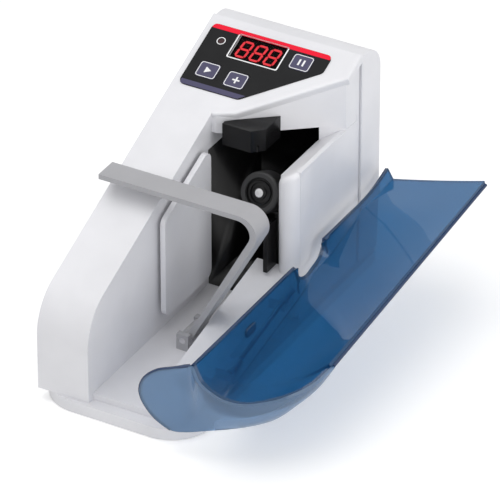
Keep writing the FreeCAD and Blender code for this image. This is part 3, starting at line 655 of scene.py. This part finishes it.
def overlay_prints():
    """The red and slate bands, the display's frame and the lamp's ring."""
    low, high = OVERLAY_TOP, OVERLAY_TOP + PRINT
    bm = bmesh.new()
    panel_plate(bm, rounded(RED_BAND), low, high)
    finish_piece("red_band", bm, "print_red", "housing")
    bm = bmesh.new()
    panel_plate(bm, rounded(SLATE_BAND), low, high)
    finish_piece("slate_band", bm, "print_slate", "housing")
    bm = bmesh.new()
    outer = rectangle(*DIGIT_CENTRE, *FRAME_OUTER)
    inner = rectangle(*DIGIT_CENTRE, *FRAME_INNER)
    panel_ring(bm, outer, inner, low, high)
    finish_piece("display_frame", bm, "print_white", "housing")
    bm = bmesh.new()
    outer, inner = [circle(*LAMP_SPOT, radius) for radius in LAMP_RING]
    panel_ring(bm, outer, inner, low, high)
    finish_piece("lamp_ring", bm, "print_white", "housing")


def digit_segments(across, slope):
    """The seven bars of one lit digit, leaning to the right."""
    half_width = DIGIT_WIDTH / 2
    quarter = DIGIT_HEIGHT / 4
    thick = DIGIT_STROKE / 2
    flat_start = DIGIT_GAP - half_width
    flat_end = half_width - DIGIT_GAP
    flat = [(flat_end, 0), (flat_end - thick, thick), (flat_start + thick, thick), (flat_start, 0),
            (flat_start + thick, -thick), (flat_end - thick, -thick)]
    tall_end = quarter - DIGIT_GAP
    tall = [(thick, tall_end - thick), (0, tall_end), (-thick, tall_end - thick),
            (-thick, thick - tall_end), (0, -tall_end), (thick, thick - tall_end)]
    places = [(flat, 0, 0), (flat, 0, 2 * quarter), (flat, 0, -2 * quarter)]
    places += [(tall, side * half_width, level * quarter) for side in (-1, 1) for level in (-1, 1)]
    for shape, right, rise in places:
        yield [(across + right + x + DIGIT_LEAN * (rise + y), slope + rise + y) for x, y in shape]


def display():
    """Three lit digits behind a tinted pane."""
    bm = bmesh.new()
    for index in (-1, 0, 1):
        for outline in digit_segments(DIGIT_CENTRE[0] + index * DIGIT_PITCH, DIGIT_CENTRE[1]):
            panel_plate(bm, outline, *DIGIT_LEVELS)
    finish_piece("lit_digits", bm, "digit_red", "housing")
    bm = bmesh.new()
    panel_plate(bm, rectangle(*WINDOW), *MASK_LEVELS)
    finish_piece("digit_mask", bm, "display_black", "housing")
    bm = bmesh.new()
    panel_plate(bm, rectangle(*WINDOW), *PANE_LEVELS)
    pane = finish_piece("display_pane", bm, "window_clear", "housing")
    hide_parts("display_window")


# Head lip, the well behind the feed wheel with its painted shade, and the right wall
LIP_PATH = [(28, 0), (38, 3.8), (77, 37.5), (77, 51)]
LIP_PROFILE = [(-2, -4.5, 0.3), (1.2, -4.5, 1.2), (1.2, 0.15, 1.2), (-2, 0.15, 0.1)]
WELL_PLAN = [(28.1, 108.0), (28.1, 156.6), (66.95, 156.6), (66.95, 108.0)]
WELL_LEVELS = (9.3, 80.0)
SHADE_SHEET_THICKNESS = 0.1


def outward(before, after):
    """The direction that leads out of the head, square to a run of its edge."""
    run = (after - before).normalized()
    return Vector((run.y, -run.x))


def lip_offset(index, amount):
    """A point of the head's edge moved outward, mitred at its corners."""
    spots = vectors(LIP_PATH)
    sides = []
    if index > 0:
        sides.append(outward(spots[index - 1], spots[index]))
    if index < len(spots) - 1:
        sides.append(outward(spots[index], spots[index + 1]))
    middle = sum(sides, Vector((0, 0))).normalized()
    return spots[index] + middle * (amount / middle.dot(sides[0]))


def head_lip():
    """The rounded white edge that frames the front of the keypad."""
    profile = rounded(LIP_PROFILE)
    outlines = []
    for index in range(len(LIP_PATH)):
        spots = [lip_offset(index, out) for out, raised in profile]
        outlines.append([panel(*spot, raised) for spot, (out, raised) in zip(spots, profile)])
    bm = bmesh.new()
    chain(bm, outlines)
    finish_piece("head_lip", bm, "white_abs", "housing", sharp=30)


def well_painted_shade():
    """Thin black sheets inside the well behind the feed wheel: painted shade for the deep hollow."""
    bm = bmesh.new()
    rows = [[at(across, along, up) for across, along in WELL_PLAN] for up in WELL_LEVELS]
    bottom_edge = grid(bm, rows)[0]
    bm.faces.new(bottom_edge)
    # Black sheets stand for the shade deep in the well, not for a real lining.
    shade_sheet = finish_piece("well_painted_shade", bm, "black_plastic", "housing", sharp=30)
    thicken(shade_sheet, SHADE_SHEET_THICKNESS, offset=0.0)


WALL_LEFT = 67.0
WALL_TOP = 84.34
RAMP_WIDTH = 8.0
RAMP_HEIGHT = 4.0
CREST_PLAN = [(67.2, 139.2), (75, 145.7), (76.9, 147.2), (76.9, 158.8), (75, 158.8), (67.2, 158.8)]
CREST_SUNK = 0.15
CREST_OVER = 0.1
NOSE_PLAN = [
    (67.0, 105.5), (67.1, 103.6), (67.7, 102), (68.9, 100.7), (70.6, 99.9), (72.4, 99.8), (74.1, 100.4),
    (75.5, 101.7), (76.5, 103.5), (77.0, 105.8), (77.12, 109), (77.1, 114), (72, 114), (67.4, 110),
]
NOSE_MIDDLE = Vector((72, 107))
NOSE_FOOT = 6.0
NOSE_RINGS = [(0.0, 76.0), (0.0, 3.0), (0.3, 1.6), (0.9, 0.6), (1.8, 0.1), (3.0, -0.1)]


def wall_height(across):
    """The top of the right wall, which slopes down to the feed wheel."""
    share = min(1.0, max(0.0, (across - WALL_LEFT) / RAMP_WIDTH))
    return WALL_TOP - RAMP_HEIGHT * (1 - share)


def wall_crest():
    """The shoulder that carries the head on the right wall."""
    low = [at(across, along, wall_height(across) - CREST_SUNK) for across, along in CREST_PLAN]
    high = [at(across, along, HEAD_BOTTOM + CREST_OVER) for across, along in CREST_PLAN]
    bm = bmesh.new()
    chain(bm, [low, high])
    bevel(finish_piece("wall_crest", bm, "white_abs", "housing"), 0.4)


def wall_nose():
    """The widely rounded front of the right wall, with a soft crest."""
    outlines = []
    for inset, drop in NOSE_RINGS:
        outline = []
        for point in vectors(NOSE_PLAN):
            point += (NOSE_MIDDLE - point).normalized() * inset
            up = max(NOSE_FOOT, wall_height(point.x) - drop)
            outline.append(at(point.x, point.y, up))
        outlines.append(outline)
    bm = bmesh.new()
    chain(bm, outlines)
    finish_piece("wall_nose", bm, "white_abs", "housing", sharp=50)


# Back
GRIP_BARS = 5
GRIP_TOP = (40, 66)
GRIP_PITCH = 2.6
GRIP_LENGTH = 26
GRIP_TAPER = 2.4
GRIP_WIDTH = 1.3
GRIP_CORNER = 0.6
GRIP_SIDES = (CASE_LENGTH - 0.3, CASE_LENGTH + 0.6)
SOCKET_SPOT = (60, 92)
SOCKET_PROFILE = [(6.2, -0.3), (6.2, 0.4), (5.8, 0.7), (4.6, 0.7), (4.2, 0.4), (4.2, -0.3)]


def door_grip():
    """Five raised grip bars on the battery door."""
    bm = bmesh.new()
    for index in range(GRIP_BARS):
        up = GRIP_TOP[1] - index * GRIP_PITCH
        length = GRIP_LENGTH - index * GRIP_TAPER
        back_plate(bm, rectangle(GRIP_TOP[0], up, length, GRIP_WIDTH, GRIP_CORNER), *GRIP_SIDES)
    bevel(finish_piece("door_grip", bm, "white_abs", "battery_hatch"), 0.25, segments=2)


def socket_ring():
    """The raised ring round the power socket."""
    outlines = []
    for radius, back in SOCKET_PROFILE:
        outline = circle(*SOCKET_SPOT, radius, 48)
        outlines.append([at(p.x, CASE_LENGTH + back, p.y) for p in outline])
    bm = bmesh.new()
    ring(bm, outlines)
    finish_piece("socket_ring", bm, "white_abs", "housing", sharp=30)


# CAD nodes keep their shape and get their finish and softened edges
DRESS = {
    "white_abs": ["base_plate", "front_case", "head_cover", "rear_cover", "pusher_plate", "battery_door",
                  "hinge_brackets"],
    "grey_abs": ["bill_guide", "guide_bracket"],
    "black_plastic": ["feed_block", "note_sensor", "power_socket", "led_display", "tact_switches",
                      "drive_frame"],
    "overlay_film": ["keypad_overlay"],
    "key_plastic": ["start_key", "add_key", "mode_key"],
    "board_green": ["control_board"],
    "lamp_red": ["indicator_lamp"],
    "rubber_black": ["rubber_feet"],
    "steel": ["case_screws", "feed_shaft", "gear_motor", "guide_pin", "hinge_pin", "pusher_springs"],
    "battery_skin": ["battery_cells"],
    "brass_contact": ["battery_contacts", "shaft_bush"],
}
EDGES = {"base_plate": 1.6, "front_case": 2.0, "head_cover": 1.6, "rear_cover": 1.2, "pusher_plate": 0.5,
         "battery_door": 0.6, "bill_guide": 0.6, "feed_block": 0.8, "note_sensor": 0.4}


def dress_nodes():
    for material, names in DRESS.items():
        for name in names:
            piece = nodes[name]
            for holder in piece.material_slots:
                holder.material = MATERIALS[material]
            if name in EDGES:
                bevel(piece, EDGES[name])


# Studio
FLOOR_HALF = 3.0
FLOOR_LEVEL = -0.0002
FLOOR_LIFT = 0.3
SKY_LIGHT = 0.5
SKY_SEEN = 1.0
CAMERA_TARGET = Vector((0.0206, 0.0, 0.0481))
CAMERA_SIDE = Vector((0.415, -0.734, 0.537)).normalized()
CAMERA_DISTANCE = 2.47
CAMERA_LENS = 400


def floor():
    ends = (-FLOOR_HALF, FLOOR_HALF)
    bm = bmesh.new()
    grid(bm, [[Vector((x, y, FLOOR_LEVEL)) for x in ends] for y in ends])
    mesh = bpy.data.meshes.new("floor")
    bm.to_mesh(mesh)
    bm.free()
    ground = bpy.data.objects.new("floor", mesh)
    bpy.context.scene.collection.objects.link(ground)
    material, tree, shader = principled("floor_white")
    shader.inputs["Base Color"].default_value = (0.9, 0.9, 0.9, 1)
    shader.inputs["Roughness"].default_value = 0.9
    shader.inputs["Emission Color"].default_value = (1, 1, 1, 1)
    level = add(tree, "ShaderNodeMapRange")
    level.inputs["To Max"].default_value = FLOOR_LIFT
    tree.links.new(sees_background(tree), level.inputs["Value"])
    tree.links.new(level.outputs["Result"], shader.inputs["Emission Strength"])
    mesh.materials.append(material)


def sees_background(tree):
    """One where a camera, mirror or glass ray looks, zero for light."""
    path = add(tree, "ShaderNodeLightPath")
    total = path.outputs["Is Camera Ray"]
    for name in ("Is Glossy Ray", "Is Transmission Ray"):
        join = add(tree, "ShaderNodeMath", operation="MAXIMUM")
        tree.links.new(total, join.inputs[0])
        tree.links.new(path.outputs[name], join.inputs[1])
        total = join.outputs[0]
    return total


def world():
    sky = bpy.data.worlds.new("studio")
    bpy.context.scene.world = sky
    sky.use_nodes = True
    tree = sky.node_tree
    back = tree.nodes["Background"]
    back.inputs["Color"].default_value = (1, 1, 1, 1)
    level = add(tree, "ShaderNodeMapRange")
    level.inputs["To Min"].default_value = SKY_LIGHT
    level.inputs["To Max"].default_value = SKY_SEEN
    tree.links.new(sees_background(tree), level.inputs["Value"])
    tree.links.new(level.outputs["Result"], back.inputs["Strength"])


def lamp(name, spot, aim, size, power):
    light = bpy.data.lights.new(name, "AREA")
    light.shape = "SQUARE"
    light.size = size
    light.energy = power
    holder = bpy.data.objects.new(name, light)
    bpy.context.scene.collection.objects.link(holder)
    holder.location = spot
    holder.rotation_euler = (Vector(aim) - Vector(spot)).to_track_quat("-Z", "Y").to_euler()


def camera():
    lens = bpy.data.cameras.new("camera")
    lens.sensor_width = 36
    lens.lens = CAMERA_LENS
    holder = bpy.data.objects.new("camera", lens)
    bpy.context.scene.collection.objects.link(holder)
    holder.location = CAMERA_TARGET + CAMERA_SIDE * CAMERA_DISTANCE
    holder.rotation_euler = (-CAMERA_SIDE).to_track_quat("-Z", "Y").to_euler()
    bpy.context.scene.camera = holder


tray_door()
feed_tyre()
feed_hub()
shaft_tip()
key_marks()
overlay_prints()
display()
head_lip()
well_painted_shade()
wall_crest()
wall_nose()
door_grip()
socket_ring()
dress_nodes()
floor()
world()
lamp("overhead", (-0.15, -0.1, 0.9), aim=(0, 0, 0.03), size=0.9, power=3.6)
lamp("front_fill", (0.5, -0.9, 0.5), aim=(0, 0, 0.05), size=0.8, power=1.6)
lamp("right_fill", (0.95, -0.15, 0.35), aim=(0, 0, 0.05), size=0.7, power=3.0)
camera()
bpy.context.scene.view_settings.view_transform = "Standard"
